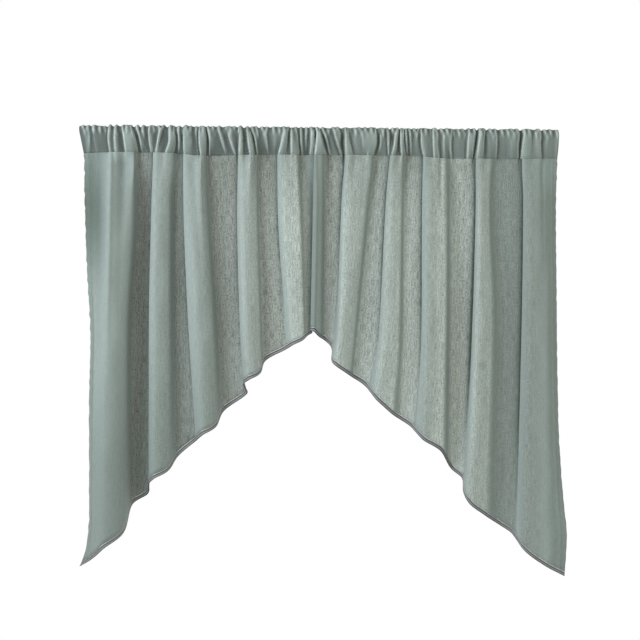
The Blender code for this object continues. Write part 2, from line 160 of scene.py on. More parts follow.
RIGHT_RUFFLES = tuple(Ruffle(*row) for row in (
    (0.5, 0.5, -2, 0, -1, -1), (5.5, 5.5, 2, 3, 4, 5), (8.5, 13, 23, 3, 5, 4.5),
    (11, 20, 28, -1.5, -3.5, -2), (15, 25, 31.5, 3, 2, -1), (24.5, 29, 35.5, 0, -1, -1.5),
    (33, 40, 50.5, -0.5, -2, -2), (37, 44.5, 55.5, 4.5, 5, 4), (49, 49.5, 57.5, 2.5, 3, 0.5),
    (58, 56.5, 60, -0.5, -3, -2), (63, 63, 65, 4.5, 5.5, 5), (66, 69, 76, 3.5, 4, 3),
    (69.5, 74.5, 82, 0, -0.5, 0), (79.5, 83.5, 90, 2.5, 1, -0.5), (89, 91.5, 96.5, 3.5, 1, -0.8),
    (97, 98.5, 102.5, 3, 3, 0), (110, 111.5, 108.5, 3.5, 3.5, 3), (122, 124.5, 117.5, 4.5, 4.5, 3.5),
    (125, 128.5, 124.5, -0.5, -3, -1.5), (131, 134.5, 131, 2, 0.5, -1.5), (140, 137, 139, 3.5, 0, -1.5),
    (144, 145, 148, -0.5, -1, -2), (147, 149, 151, 3.5, 2.5, 0), (153, 155.5, 153, -1, -2, 0),
    (158.5, 158, 154.5, 2.5, -2.5, 0.5), (166.5, 162.5, 157, 4, 5.5, 5), (168.5, 166, 161.5, 3, 4, 3.5),
    (171, 170, 172.5, -2, -3, -1.5), (174.5, 174.5, 178.5, 3, 3.5, 4), (178.5, 179, 185.5, 3, 3, 4),
    (181.5, 182, 187.5, -0.5, -1.5, 0), (184.5, 186, 189.5, 2.5, 2.5, 0),
    (188, 190.5, 192.5, 0, -2, -2), (191, 194, 196, 3, 1.5, -1), (196.5, 198.5, 202, 0, -0.5, -1.5),
    (208, 205.5, 209, 2.5, 0, -1.5), (212.5, 213, 219, -1, -1.5, -2), (215.5, 216, 222.5, 4, 5, 5),
    (225, 226.5, 229.5, 2.5, 2.5, 2), (236, 236, 238.5, 0.5, 0.5, -0.5),
    (240, 240.5, 243.5, 4, 3.5, 2.5), (246, 246.5, 251.5, 3, 3, 2), (250.5, 254.5, 257, 0, -0.5, -1),
    (262.5, 262, 265, 2.5, 2, 0.5), (271, 269, 274, 3, 2, -0.8), (275.5, 274.5, 279, 3, 2.5, 1),
    (280, 280.5, 283, 0, -0.5, -1), (292, 291, 293.5, 1.5, 0, -1), (308.5, 305, 307.5, 0.5, -0.5, -1.5),
    (312.5, 311.5, 311.5, 3, 4, 3.5), (324, 321, 320.5, 3, 3.5, 1.5), (329, 327.5, 324.5, -2, -4, -2),
    (334, 332.5, 328.5, 4.5, 6, 5), (343.5, 340.5, 339, 4, 4, 3), (347.5, 345.5, 348.5, -0.5, -1.5, -1),
    (358, 353.5, 357.5, 3, 0.5, 0), (364, 367.5, 368.5, 3, 2.5, 0), (368, 373, 373.5, 0, -0.5, -1.5),
    (385, 386, 389, 2, 0, -1.5), (401, 400, 403, 3.5, 3, 1), (411.5, 411.5, 414.5, 2.5, 2, 0.5),
    (418.5, 417, 418, -1.5, -4, -2.5), (427.5, 423, 422, 4.5, 6, 5), (438, 436.5, 437.5, 2.5, 3.5, 3),
    (443, 440.5, 443.5, 0.5, 2, 2.5), (450, 450.5, 456, 3.5, 3.5, 3), (456, 455.5, 460, 3, 3, 2),
    (460, 460, 464, -0.5, -1.5, -1), (473.5, 470.5, 472, 3, 0.5, -1), (484.5, 481.5, 483.5, 1, 0, -0.5),
    (491.5, 489.5, 490.5, 2, 1.5, 0.5),
))
print("ruffles:", len(LEFT_RUFFLES), "left and", len(RIGHT_RUFFLES), "right")

# %% [markdown]
# ## Long ripples
#
# Most ruffles die away within a hand's width below the seam. A few run on as soft ripples, and these
# are bell curves: the place at the seam, half width, how far the cloth stands out, and the reach down
# the cloth.

# %% Ripples
Ripple = namedtuple("Ripple", "seam half_width rise reach")
RIPPLES = tuple(Ripple(*row) for row in (
    (-446, 17, -7.0, 620), (-414, 6, 8.5, 480), (-391, 11, -8.5, 360), (-363, 6, 8.5, 340),
    (-321, 4, 3.0, 120), (-250, 8, -4.0, 200), (-232, 6, 8.0, 320), (-220, 4, -4.0, 170),
    (-131, 5, 4.0, 150), (-120, 4, -3.0, 150), (-35, 6, 4.0, 200), (-29, 3, -3.0, 150),
    (22, 4, 2.0, 150), (30, 4, -2.0, 150), (67, 5, 3.0, 90), (80, 6, -3.0, 110), (117, 6, 3.5, 130),
    (126, 4, -4.0, 180), (158, 4, 3.0, 90), (188, 4, -4.0, 170), (224, 4, 3.0, 120),
    (255, 4, -4.0, 120), (265, 5, 2.0, 100), (276, 4, -4.0, 120), (308, 3, -3.5, 100),
    (316, 5, 3.0, 90), (369, 5, -3.5, 220), (440, 9, 2.0, 150), (463, 4, -3.5, 330),
))
RUFFLE_REACH = 62.0
RIPPLE_START = 25.0
RIPPLE_FADE = 1.5
print("ripples:", len(RIPPLES), "and the longest reaches", max(row.reach for row in RIPPLES), "mm")


def bell(offset):
    return np.exp(-(offset**2))


def ripple_height(at_seam, below):
    """How far the ripples push the cloth out, for a column that starts at this place of the seam."""
    height = np.zeros_like(below)
    for row in RIPPLES:
        fade = np.clip(1 - below / row.reach, 0, 1) ** RIPPLE_FADE
        fade = fade * np.clip(below / RIPPLE_START, 0, 1)
        height += row.rise * bell((at_seam - row.seam) / row.half_width) * fade
    return height


# %% [markdown]
# ## From table rows to a smooth sheet
#
# Down the cloth, a line of a fold passes through its table values with cubics that never overshoot.
# Across the cloth, a second cubic runs from line to line. Its tangents depend on how far apart the
# lines are, so a tight turn stays tight and a broad crest stays broad.

# %% Lines of the folds
Line = namedtuple("Line", "drops across depths hem sheer glow")
RIM_SHEER = 0.1
RIM_GLOW = 0.4


def cubic(t, gap, first, leaving, last, arriving):
    """A cubic from first to last over a gap, with these slopes at its two ends."""
    start = (1 + 2 * t) * (1 - t) ** 2 * first + t * (1 - t) ** 2 * gap * leaving
    end = t**2 * (3 - 2 * t) * last + t**2 * (t - 1) * gap * arriving
    return start + end


def eased(at, places, values):
    """Values joined by cubics that don't overshoot. The places ascend."""
    places = np.asarray(places, float)
    values = np.asarray(values, float)
    at = np.clip(at, places[0], places[-1])
    gaps = np.diff(places)
    rises = np.diff(values) / gaps
    before, after = rises[:-1], rises[1:]
    same_way = before * after > 0
    mean = np.divide(2 * before * after, before + after, out=np.zeros_like(before), where=same_way)
    slopes = np.concatenate([rises[:1], mean, rises[-1:]])
    k = np.clip(np.searchsorted(places, at, side="right") - 1, 0, len(gaps) - 1)
    t = (at - places[k]) / gaps[k]
    return cubic(t, gaps[k], values[k], slopes[k], values[k + 1], slopes[k + 1])


def seam_drop(across):
    return eased(across, [row[0] for row in SEAM], [row[1] for row in SEAM])


def rim_line(rims):
    drops, across, depths = zip(*rims)
    return Line(drops, across, depths, drops[-1], RIM_SHEER, RIM_GLOW)


def fold_line(kind, across, full_depth, hem, sheer, glow):
    """One line of a fold from the pocket's top to the hem, such as its crest."""
    seam = SEAM_DEPTHS[kind]
    upper = seam + UPPER_SHARE * (full_depth - seam)
    drops = [0.0, seam_drop(across[1]), UPPER_DROP, MIDDLE_DROP, hem]
    depths = [seam, seam, upper, full_depth, full_depth]
    across = list(across)
    if hem - MIDDLE_DROP < LEAST_SPACING:
        for row in (drops, depths, across):
            del row[3]
    return Line(drops, across, depths, hem, sheer, glow)


def curled(line, across):
    """The same line, but it swings out to its place at the hem only just above it."""
    drops = line.drops[:-1] + [line.hem - CURL_REACH, line.hem]
    places = line.across[:-1] + [across, line.across[-1]]
    return line._replace(drops=drops, across=places, depths=line.depths + line.depths[-1:])


def fold_lines(fold, before):
    """Lines of the tuck, edge, crest, shoulder and valley of a fold. before: the fold on its left."""
    edge = np.array(fold.edge, float)
    width = np.array(fold.width[:1] + fold.width, float)
    valley = before.depth[3]
    tuck = edge.copy()
    tuck[:-1] += TUCK_START + np.array(TUCK_SHARES) * (valley - fold.depth[1])
    tuck[-1] += fold.lap
    tuck_depth = valley + TUCK_DEPTH_SHARE * (fold.depth[0] - valley)
    crest = edge + fold.crest_at * width
    shoulder = edge + fold.shoulder_at * width
    tuck_line = fold_line("tuck", tuck, tuck_depth, fold.hem[0], before.sheer[2], before.glow[2])
    if fold.lap > 0:
        tuck_line = curled(tuck_line, edge[-1] + TUCK_START)
    return [
        tuck_line,
        fold_line("edge", edge, fold.depth[0], fold.hem[1], 0.0, fold.glow[0]),
        fold_line("crest", crest, fold.depth[1], fold.hem[2], fold.sheer[0], fold.glow[0]),
        fold_line("shoulder", shoulder, fold.depth[2], fold.hem[3], fold.sheer[1], fold.glow[1]),
        fold_line("valley", edge + width, fold.depth[3], fold.hem[4], fold.sheer[2], fold.glow[2]),
    ]


def curtain_lines(folds, first_rim, last_rim, keep_last_valley):
    """All lines of a curtain from its left to its right free edge."""
    lines = [rim_line(first_rim)] + fold_lines(folds[0], folds[0])[2:]
    for before, fold in zip(folds, folds[1:]):
        lines += fold_lines(fold, before)
    if not keep_last_valley:
        lines = lines[:-1]
    return lines + [rim_line(last_rim)]


left_lines = curtain_lines(LEFT_FOLDS, LEFT_OUTER_RIM, LEFT_INNER_RIM, True)
right_lines = curtain_lines(RIGHT_FOLDS, RIGHT_INNER_RIM, RIGHT_OUTER_RIM, False)
print("lines:", len(left_lines), "and", len(right_lines))

# %% [markdown]
# ## The curve through the lines
#
# A spot of the cloth is told by a stretch between two lines, a share of that stretch and a drop. The
# edging keeps one width across its band, so it is taller where the hem is steep.

# %% The curve through the lines
EDGING_WIDTH = 8.0
HEM_STEP = 0.1
SHORT_RUN = 0.01
MOST_STEEP = 1.7
FULL_FOLD_SHARE = 0.8
FEWEST_COLUMNS = 3


def distances_along(path):
    """Distance of each point of a path from its start, along the path."""
    steps = np.linalg.norm(np.diff(path, axis=0), axis=1)
    return np.concatenate([[0.0], np.cumsum(steps)])


def places_at(line, drops):
    """Across and depth of one line at these drops, still at its hem below that."""
    return np.stack([eased(drops, line.drops, line.across), eased(drops, line.drops, line.depths)])


def line_spots(lines, share):
    return np.array([places_at(line, np.array([share * line.hem]))[:, 0] for line in lines])


def column_places(lines, spacing, drop_share):
    """(stretch, share) of each column of the mesh. The spacing holds at a share of the drop."""
    spots = line_spots(lines, drop_share)
    places = []
    for k, length in enumerate(np.linalg.norm(np.diff(spots, axis=0), axis=1)):
        count = max(FEWEST_COLUMNS, round(length / spacing))
        places += [(k, step / count) for step in range(count)]
    return places + [(len(lines) - 2, 1.0)]


def stretch_lengths(lines):
    """Spacing of the lines for the curve through them, taken where the folds are full."""
    return np.sqrt(np.linalg.norm(np.diff(line_spots(lines, FULL_FOLD_SHARE), axis=0), axis=1))


def through(values, lengths, k, share):
    """A smooth curve through the values of all lines, at a share of stretch k."""
    first, last = values(k), values(k + 1)
    rise = (last - first) / lengths[k]
    leaving = arriving = rise
    if k > 0:
        earlier = (first - values(k - 1)) / lengths[k - 1]
        leaving = (earlier * lengths[k] + rise * lengths[k - 1]) / (lengths[k] + lengths[k - 1])
    if k + 1 < len(lengths):
        later = (values(k + 2) - last) / lengths[k + 1]
        arriving = (later * lengths[k] + rise * lengths[k + 1]) / (lengths[k] + lengths[k + 1])
    return cubic(share, lengths[k], first, leaving, last, arriving)


def curve_point(lines, lengths, k, share, drops):
    """Across and depth of the cloth at a share of stretch k, for each drop."""
    return through(lambda line: places_at(lines[line], drops), lengths, k, share)


def hem_drop(lines, lengths, k, share):
    return through(lambda line: float(lines[line].hem), lengths, k, share)


def edging_height(lines, lengths, k, share):
    """Height of the edging, more where the hem is steep, so that the band keeps its width."""
    ends = (max(share - HEM_STEP, 0.0), min(share + HEM_STEP, 1.0))
    drops = [hem_drop(lines, lengths, k, end) for end in ends]
    spots = [curve_point(lines, lengths, k, end, np.array([drop])) for end, drop in zip(ends, drops)]
    run = max(np.linalg.norm(spots[1] - spots[0]), SHORT_RUN)
    return EDGING_WIDTH * min(np.hypot(1, (drops[1] - drops[0]) / run), MOST_STEEP)


def smooth_share(t):
    return t * t * (3 - 2 * t)


for side, lines in (("left", left_lines), ("right", right_lines)):
    span = distances_along(line_spots(lines, FULL_FOLD_SHARE))[-1]
    print("the", side, "lines span", round(span), "mm along the folds")

# %% [markdown]
# ## Turning a grid of points into a closed cloth
#
# A sheet gets its thickness from two grids, one on each side of the middle, joined round the rim. The
# same code serves the panels and the edging. The cloth's own flat coordinates become its UV map, so
# that the threads of the weave follow the folds. An attribute named tone tells the material how sheer
# the cloth is at each point, how much painted light comes through it, and how much painted shade it
# gets.

# %% Mesh helpers
def grid_normals(grid, level):
    """Unit normals of a grid of points, columns by rows, towards the front. level: with no tilt."""
    normals = np.cross(np.gradient(grid, axis=1), np.gradient(grid, axis=0))
    if level:
        normals[:, :, 2] = 0
    return normals / np.linalg.norm(normals, axis=2, keepdims=True)


def grid_quads(columns, rows):
    """Corner numbers of the quads of a grid, facing the front."""
    i, j = np.meshgrid(np.arange(columns - 1), np.arange(rows - 1), indexing="ij")
    a = (i * rows + j).ravel()
    return np.stack([a + 1, a + rows + 1, a + rows, a], axis=1)


def rim_quads(columns, rows):
    """Quads that join the free edges of a front grid to those of the back grid."""
    loop = [(i, 0) for i in range(columns)]
    loop += [(columns - 1, j) for j in range(1, rows)]
    loop += [(i, rows - 1) for i in range(columns - 2, -1, -1)]
    loop += [(0, j) for j in range(rows - 2, 0, -1)]
    a = np.array([i * rows + j for i, j in loop])
    b = np.roll(a, -1)
    back = columns * rows
    return np.stack([a, b, b + back, a + back], axis=1)


def add_mesh(name, points, quads, flat, tones):
    """A smooth mesh in metres. flat: cloth coordinates of each point, mm. tones: three values each."""
    mesh = bpy.data.meshes.new(name)
    mesh.from_pydata((points * MM).tolist(), [], quads.tolist())
    corners = np.empty(len(mesh.loops), dtype=np.int32)
    mesh.loops.foreach_get("vertex_index", corners)
    cloth_map = mesh.uv_layers.new(name="cloth")
    cloth_map.data.foreach_set("uv", (flat[corners] * MM).ravel().astype(np.float32))
    tone = mesh.attributes.new("tone", "FLOAT_VECTOR", "POINT")
    tone.data.foreach_set("vector", tones.ravel().astype(np.float32))
    mesh.shade_smooth()
    mesh.update()
    piece = bpy.data.objects.new(name, mesh)
    bpy.context.collection.objects.link(piece)
    print(name, len(mesh.polygons), "faces")
    return piece


def add_sheet(name, grid, thickness, flat, tones, level=False):
    """A closed sheet round a grid of middle points. thickness: for each row or each point."""
    offset = grid_normals(grid, level) * np.broadcast_to(thickness, grid.shape[:2])[..., None] / 2
    columns, rows = grid.shape[:2]
    points = np.concatenate([(grid + offset).reshape(-1, 3), (grid - offset).reshape(-1, 3)])
    front = grid_quads(columns, rows)
    back = front[:, ::-1] + columns * rows
    quads = np.concatenate([front, back, rim_quads(columns, rows)])
    flat = np.tile(flat.reshape(-1, 2), (2, 1))
    tones = np.tile(tones.reshape(-1, 3), (2, 1))
    return add_mesh(name, points, quads, flat, tones)


print("a sheet of 3 by 3 points has", 2 * len(grid_quads(3, 3)) + len(rim_quads(3, 3)), "faces")

# %% [markdown]
# ## The ruffles as a surface
#
# At any height of the pocket each ruffle row gives a place and a rise. One cubic up each row and one
# across all rows turn the table into a surface.

# %% The ruffles as a surface
RUFFLE_HEIGHTS = (0.0, 0.5, 1.0)


def ruffle_rise(rows, across, up):
    """How far the ruffles of a curtain stand out. across: places at one height, up: 0 seam to 1 top."""
    places, rises = [], []
    for row in rows:
        places.append(eased(up, RUFFLE_HEIGHTS, (row.seam, row.middle, row.top)))
        rises.append(eased(up, RUFFLE_HEIGHTS, (row.seam_rise, row.middle_rise, row.top_rise)))
    return eased(across, np.array(places), np.array(rises))


print("the tallest ridge stands out", max(row.middle_rise for row in LEFT_RUFFLES), "mm")

# %% [markdown]
# ## The hanging panels
#
# Below the seam the cloth is one layer. Its side hem is turned over and sewn, so it is a little
# thicker there and pulls into small puckers. Where the ruffles leave the seam the cloth still
# ripples, and a slow, shallow unevenness keeps broad stretches from looking machined. Just left of
# a fold's edge, where it laps over the valley, painted shade darkens the cloth. Painted shade also
# darkens the right flank of each fold, the hollows of the ripples, the side hem, the strip beside it
# and the foot of the outer edge.

# %% Panels
CLOTH = 0.9
SIDE_HEM = 11.0
SIDE_HEM_EXTRA = 0.7
SIDE_HEM_BLEND = 1.5
PANEL_SPACING = 1.75
PANEL_SPACED_AT = 0.6
PANEL_ROWS = 104
ROW_BUNCHING = 1.6
LAP_SHADE = 5.0
LAP_FADE = 240.0
LEAST_LAP = 0.2
HOLLOW_SHADE = 0.07
FLANK_SHADE = 0.35
FLANK_CLOSED = 0.8
SEAM_GLOW = 0.6
LINES_PER_FOLD = 5
FLANK_PLACE = 2
VALLEY_PLACE = 3
FLUTTER = ((0.5, 61.0, 190.0, 0.3), (0.35, 37.0, 150.0, 1.9), (0.3, 83.0, 93.0, 4.1))
HEM_PUCKERS = ((0.7, 23.0, 0.0), (0.5, 14.0, 1.3), (0.5, 37.0, 2.9))
PUCKER_OUTLINE = 0.6
HEM_SHADE = 0.35
FOOT_DROPS = (430.0, 700.0)
STRIP_WIDTH = 54.0
STRIP_BLEND = 24.0
STRIP_MIDDLE = 110.0
STRIP_REACH = 150.0


def waves(rows, along):
    return sum(size * np.sin(2 * np.pi * along / length + start) for size, length, start in rows)


def flutter(across, drops):
    """Slow shallow unevenness of hanging cloth."""
    return sum(
        size * np.sin(2 * np.pi * across / wide + start) * np.sin(2 * np.pi * drops / tall + 2 * start)
        for size, wide, tall, start in FLUTTER
    )


def lap_shade(lines, k, across, drops):
    """Painted shade, 1 where the cloth dips under the next fold's edge, 0 away from it, less near the
    hem.
    """
    place_in_fold = k % LINES_PER_FOLD
    fade = np.clip((drops[-1] - drops) / LAP_FADE, LEAST_LAP, 1)
    if place_in_fold == VALLEY_PLACE and k + 2 < len(lines):
        edge = places_at(lines[k + 2], drops)[0]
        return fade * np.exp(-np.maximum(edge - across, 0) / LAP_SHADE)
    return fade * (place_in_fold == VALLEY_PLACE + 1)


def panel_tones(lines, k, share, across, drops, below, ripple):
    """Sheer, glow and painted shade of one column. A fold's right flank, seen nearly edge on and turned
    from the light, gets less sheer and painted shade.
    """
    blend = smooth_share(share)
    flank = np.sin(np.pi * share) ** 2 if k % LINES_PER_FOLD == FLANK_PLACE else 0.0
    sheer = lines[k].sheer + blend * (lines[k + 1].sheer - lines[k].sheer)
    glow = lines[k].glow + blend * (lines[k + 1].glow - lines[k].glow)
    # Painted shade under the pocket: the painted light through the cloth dims towards the seam.
    dimmed = SEAM_GLOW + (1 - SEAM_GLOW) * smooth_share(np.clip(below / UPPER_DROP, 0, 1))
    shade = np.maximum(lap_shade(lines, k, across, drops), FLANK_SHADE * flank)
    # Painted shade in the hollows where a ripple sinks back.
    shade = np.maximum(shade, HOLLOW_SHADE * np.maximum(-ripple, 0))
    return np.stack([sheer * (1 - FLANK_CLOSED * flank) + 0 * drops, glow * dimmed, shade], axis=1)


def panel_grid(lines, ruffles):
    """Middle points of the cloth from the seam to the edging, and its tones."""
    lengths = stretch_lengths(lines)
    shares = np.linspace(0, 1, PANEL_ROWS) ** ROW_BUNCHING
    grid, tones = [], []
    for k, share in column_places(lines, PANEL_SPACING, PANEL_SPACED_AT):
        at_seam = curve_point(lines, lengths, k, share, np.array([seam_drop(0.0)]))[0]
        start = seam_drop(at_seam)[0]
        low = hem_drop(lines, lengths, k, share) - edging_height(lines, lengths, k, share)
        drops = start + shares * (low - start)
        across, depth = curve_point(lines, lengths, k, share, drops)
        below = drops - start
        ruffle = ruffle_rise(ruffles, at_seam, 0.0)[0]
        depth = depth - ruffle * np.clip(1 - below / RUFFLE_REACH, 0, 1) ** 2
        ripple = ripple_height(at_seam[0], below)
        depth = depth - ripple
        depth = depth + np.clip(below / UPPER_DROP, 0, 1) * flutter(across, drops)
        grid.append(np.stack([across, depth, -drops], axis=1))
        tones.append(panel_tones(lines, k, share, across, drops, below, ripple))
    return np.array(grid), np.array(tones)


def strip_shade(from_outer, drops):
    """Painted shade on the strip beside the side hem, which turns from the light under the pocket."""
    across = np.clip((STRIP_WIDTH - from_outer) / STRIP_BLEND, 0, 1)
    return across * bell((drops - drops[0, 0] - STRIP_MIDDLE) / STRIP_REACH)


def foot_shade(drops):
    """Painted shade: the lower part of a long outer edge hangs in more shade."""
    return np.clip((drops - FOOT_DROPS[0]) / (FOOT_DROPS[1] - FOOT_DROPS[0]), 0, 1)


def add_panel(name, lines, ruffles, outer_first, strip, foot):
    """One panel. strip and foot: how much painted shade its strip and its foot get, 0 to 1."""
    grid, tones = panel_grid(lines, ruffles)
    along = distances_along(grid[:, PANEL_ROWS // 2])
    width = along[-1]
    from_outer = along if outer_first else width - along
    from_side = np.minimum(from_outer, width - from_outer)
    hem_share = np.clip((SIDE_HEM - from_side) / SIDE_HEM_BLEND + 1, 0, 1)
    near_side = np.exp(-from_outer / SIDE_HEM)
    drops = -grid[:, :, 2]
    puckers = near_side[:, None] * waves(HEM_PUCKERS, drops)
    grid[:, :, 1] += puckers
    grid[:, :, 0] += PUCKER_OUTLINE * puckers
    thickness = CLOTH + SIDE_HEM_EXTRA * hem_share[:, None] + 0 * drops
    flat = np.stack([along[:, None] + 0 * drops, drops], axis=2)
    strip_dark = strip * strip_shade(from_outer[:, None], drops)
    # Painted shade on the strip beside the side hem, on the foot and on the doubled side hem itself.
    for shade in (strip_dark, foot * foot_shade(drops), HEM_SHADE * hem_share[:, None]):
        tones[:, :, 2] = np.maximum(tones[:, :, 2], shade)
    panel = add_sheet(name, grid, thickness, flat, tones)
    print(name, "is", round(width), "mm wide when flat")
    return panel, grid, along


panel_left, left_grid, left_along = add_panel(
    "panel_left_cloth", left_lines, LEFT_RUFFLES, outer_first=True, strip=0.8, foot=0.3
)
panel_right, right_grid, right_along = add_panel(
    "panel_right_cloth", right_lines, RIGHT_RUFFLES, outer_first=False, strip=0.4, foot=0.0
)

# %% [markdown]
# ## The rod pockets
#
# A rod pocket is the head of the cloth turned back and sewn down, and the rod pushed through it
# bunches the cloth. Seen from its end it is a drop shape: round over the rod and pinched at the seam.
# Each column of the mesh is such a ring, and the ruffles push the ring in and out: fully at the front
# over the rod, less at the seam, and half as much at the back.

# %% Pockets
# The ring of cloth round the rod, in millimetres.
POCKET_RADIUS = 14.0
POCKET_AXIS_DROP = 16.5
POCKET_BOW = 2.0
STITCHED_BAND = 3.0
PINCHED = 0.2
POCKET_ROUND = 140.0
POCKET_GATHER = 1.45
# The mesh of the ring.
WALL_POINTS = 14
ARCH_POINTS = 11
WALL_SHARE = 0.7
POCKET_SPACING = 1.15
# How ruffles and pleats push the ring.
RUFFLE_GAIN = 1.25
POCKET_INWARD = -4.0
PUSH_MIDDLE = 0.75
PUSH_SWING = 0.25
PUSH_BACK = 0.5
TOP_LIFT = 0.6
PLEATS = ((1.0, 11.0, 14.0), (0.8, 14.0, -17.0))
PLEAT_RISE = 1.2
PLEAT_FADE = 1.5
# How much painted shade darkens creases, flanks and flats, and how much painted highlight lights edges.
LEAST_STEP = POCKET_SPACING / 3
SHARPEST = 0.18
FLAT_RISE = 4.5
DEEPEST = 3.2
LOW_POWER = 1.2
PLEAT_SHADE = 0.8
RIDGE_FLANK_SHADE = 0.6
RIDGE_SHADE = 0.1
EDGE_HIGHLIGHT = 0.55
LEAST_TONE = 0.01

WALL = np.linspace(0, 1, WALL_POINTS)
TURN = np.pi * (1 - np.linspace(0, 1, ARCH_POINTS + 2)[1:-1])


def ring_shape():
    """For each point round the pocket: up, front to back side, push and lift."""
    arch = WALL_SHARE + (1 - WALL_SHARE) * np.sin(TURN)
    up = np.concatenate([WALL_SHARE * WALL, arch, WALL_SHARE * WALL[::-1]])
    side = np.concatenate([-np.ones(WALL_POINTS), np.cos(TURN), np.ones(WALL_POINTS)])
    front, over = PUSH_MIDDLE + PUSH_SWING * WALL, PUSH_MIDDLE - PUSH_SWING * np.cos(TURN)
    push = np.concatenate([front, over, PUSH_BACK * WALL[::-1]])
    lift = np.concatenate([0 * WALL, TOP_LIFT * np.sin(TURN), 0 * WALL])
    return up, side, push, lift


def pocket_ring(lines, lengths, k, share):
    """Middle of the pocket's wall round the rod at one column, with no ruffles yet."""
    seam_across, seam_depth = curve_point(lines, lengths, k, share, np.array([seam_drop(0.0)]))[:, 0]
    seam = seam_drop(seam_across)
    front_depth = seam_depth + WALL * (-POCKET_RADIUS - seam_depth) - POCKET_BOW * np.sin(np.pi * WALL)
    back_depth = seam_depth + WALL * (POCKET_RADIUS - seam_depth)
    wall_drop = seam + WALL * (POCKET_AXIS_DROP - seam)
    depth = np.concatenate([front_depth, POCKET_RADIUS * np.cos(TURN), back_depth[::-1]])
    arch_drop = POCKET_AXIS_DROP - POCKET_RADIUS * np.sin(TURN)
    drop = np.concatenate([wall_drop, arch_drop, wall_drop[::-1]])
    across = curve_point(lines, lengths, k, share, drop)[0]
    return np.stack([across, depth, -drop], axis=1)


def tube_quads(columns, ring):
    """Quads of a tube open at both ends: outer rings first, then inner rings."""
    count = columns * ring
    i, k = np.meshgrid(np.arange(columns - 1), np.arange(ring), indexing="ij")
    a, b = (i * ring + k).ravel(), (i * ring + (k + 1) % ring).ravel()
    outer = np.stack([a, a + ring, b + ring, b], axis=1)
    inner = outer[:, ::-1] + count
    a = np.arange(ring)
    b = (a + 1) % ring
    near_end = np.stack([a, b, count + b, count + a], axis=1)
    far_end = near_end[:, ::-1] + (columns - 1) * ring
    return np.concatenate([outer, inner, near_end, far_end])


def top_pleats(across, up):
    """Small slanted pleats at the top of the pocket, which fade within the upper half."""
    fade = np.clip(2 * up - 1, 0, 1) ** PLEAT_FADE
    return PLEAT_RISE * fade * sum(
        size * np.sin(2 * np.pi * (across + lean * (up - 1)) / wide) for size, wide, lean in PLEATS
    )


def pocket_tones(rise, across, up, crease_share, flat_shade):
    """Three tones: how much painted shade of creases or painted highlight shows, which of the two it is,
    and the painted shade of the flats.

    crease_share: how much painted shade reaches just beside creases, against the creases themselves.
    flat_shade: how much painted shade the flats get at most.
    """
    step = np.maximum(np.gradient(across, axis=0), LEAST_STEP)
    slope = np.gradient(rise, axis=0) / step
    bend = np.gradient(slope, axis=0) / step / SHARPEST
    low = np.clip((FLAT_RISE - rise) / (FLAT_RISE + DEEPEST), 0, 1) ** LOW_POWER
    low = np.maximum(low, PLEAT_SHADE * np.clip(2 * up - 1, 0, 1))
    # Painted shade in creases, in the pleats at the top, and on the falling right side of each ridge,
    # which faces away from the light.
    crease_shade = np.maximum(np.clip(bend, 0, 1) * low, RIDGE_FLANK_SHADE * np.clip(-slope, 0, 1))
    beside = np.maximum(crease_shade[:-2], crease_shade[2:])
    crease_shade[1:-1] = np.maximum(crease_shade[1:-1], crease_share * beside)
    # Painted highlight on sharp ridge tops, where the light catches them.
    edge = np.clip(-bend, 0, 1)
    flat = np.clip((FLAT_RISE - rise) / FLAT_RISE, RIDGE_SHADE, flat_shade) * (1 - edge)
    painted_highlight = EDGE_HIGHLIGHT * edge**2
    return np.stack([np.maximum(crease_shade, painted_highlight), painted_highlight / (painted_highlight + crease_shade + LEAST_TONE), flat], axis=2)


def add_pocket(name, lines, ruffles, crease_share, flat_shade):
    """A pocket and the grid of its outer points. The two ends of each ring meet in the seam."""
    lengths = stretch_lengths(lines)
    places = column_places(lines, POCKET_SPACING, 0.0)
    rings = np.array([pocket_ring(lines, lengths, k, share) for k, share in places])
    columns, ring = rings.shape[:2]
    up, side, push, lift = ring_shape()
    rise = np.stack([ruffle_rise(ruffles, rings[:, j, 0], up[j]) for j in range(ring)], axis=1)
    rise += top_pleats(rings[:, :, 0], up)
    rings[:, :, 1] += side * push * np.maximum(RUFFLE_GAIN * rise, POCKET_INWARD)
    rings[:, :, 2] += lift * rise
    normals = -grid_normals(rings, False)
    outer = rings + normals * CLOTH / 2
    inner = rings - normals * CLOTH / 2
    for k, way in ((0, -1), (-1, 1)):
        outer[:, k] = rings[:, k] + np.array([0, way * CLOTH / 2, 0])
        inner[:, k] = rings[:, k] + np.array([0, way * PINCHED, STITCHED_BAND])
    along = POCKET_GATHER * distances_along(rings[:, 0])
    round_ring = np.arange(ring) * POCKET_ROUND / ring
    flat = np.stack(np.meshgrid(along, round_ring, indexing="ij"), axis=2)
    tones = pocket_tones(rise, rings[:, :, 0], up, crease_share, flat_shade)
    points = np.concatenate([outer.reshape(-1, 3), inner.reshape(-1, 3)])
    flat, tones = np.tile(flat.reshape(-1, 2), (2, 1)), np.tile(tones.reshape(-1, 3), (2, 1))
    return add_mesh(name, points, tube_quads(columns, ring), flat, tones), outer


pocket_left, left_rings = add_pocket(
    "pocket_left_cloth", left_lines, LEFT_RUFFLES, crease_share=1.0, flat_shade=0.9
)
pocket_right, right_rings = add_pocket(
    "pocket_right_cloth", right_lines, RIGHT_RUFFLES, crease_share=0.6, flat_shade=0.55
)

# %% [markdown]
# ## The bound edge
#
# The slanted hem is finished with a narrow grey edging. It is thin at its top, where it clasps the
# cloth, has a raised row of stitches, a flat band and a rolled lower edge. That section is a short
# table of drops and thicknesses, carried along the hem as a sheet.

# %% Edging
EDGING_SECTION = ((0.3, 0.9), (0.6, 1.7), (1.4, 2.0), (2.1, 1.5), (3.0, 1.3), (4.6, 1.3), (5.6, 1.5),
                  (6.2, 2.2), (7.0, 2.5), (7.7, 2.1), (8.0, 1.1))
EDGING_SPACING = 2.4
BAND_ROW = 4


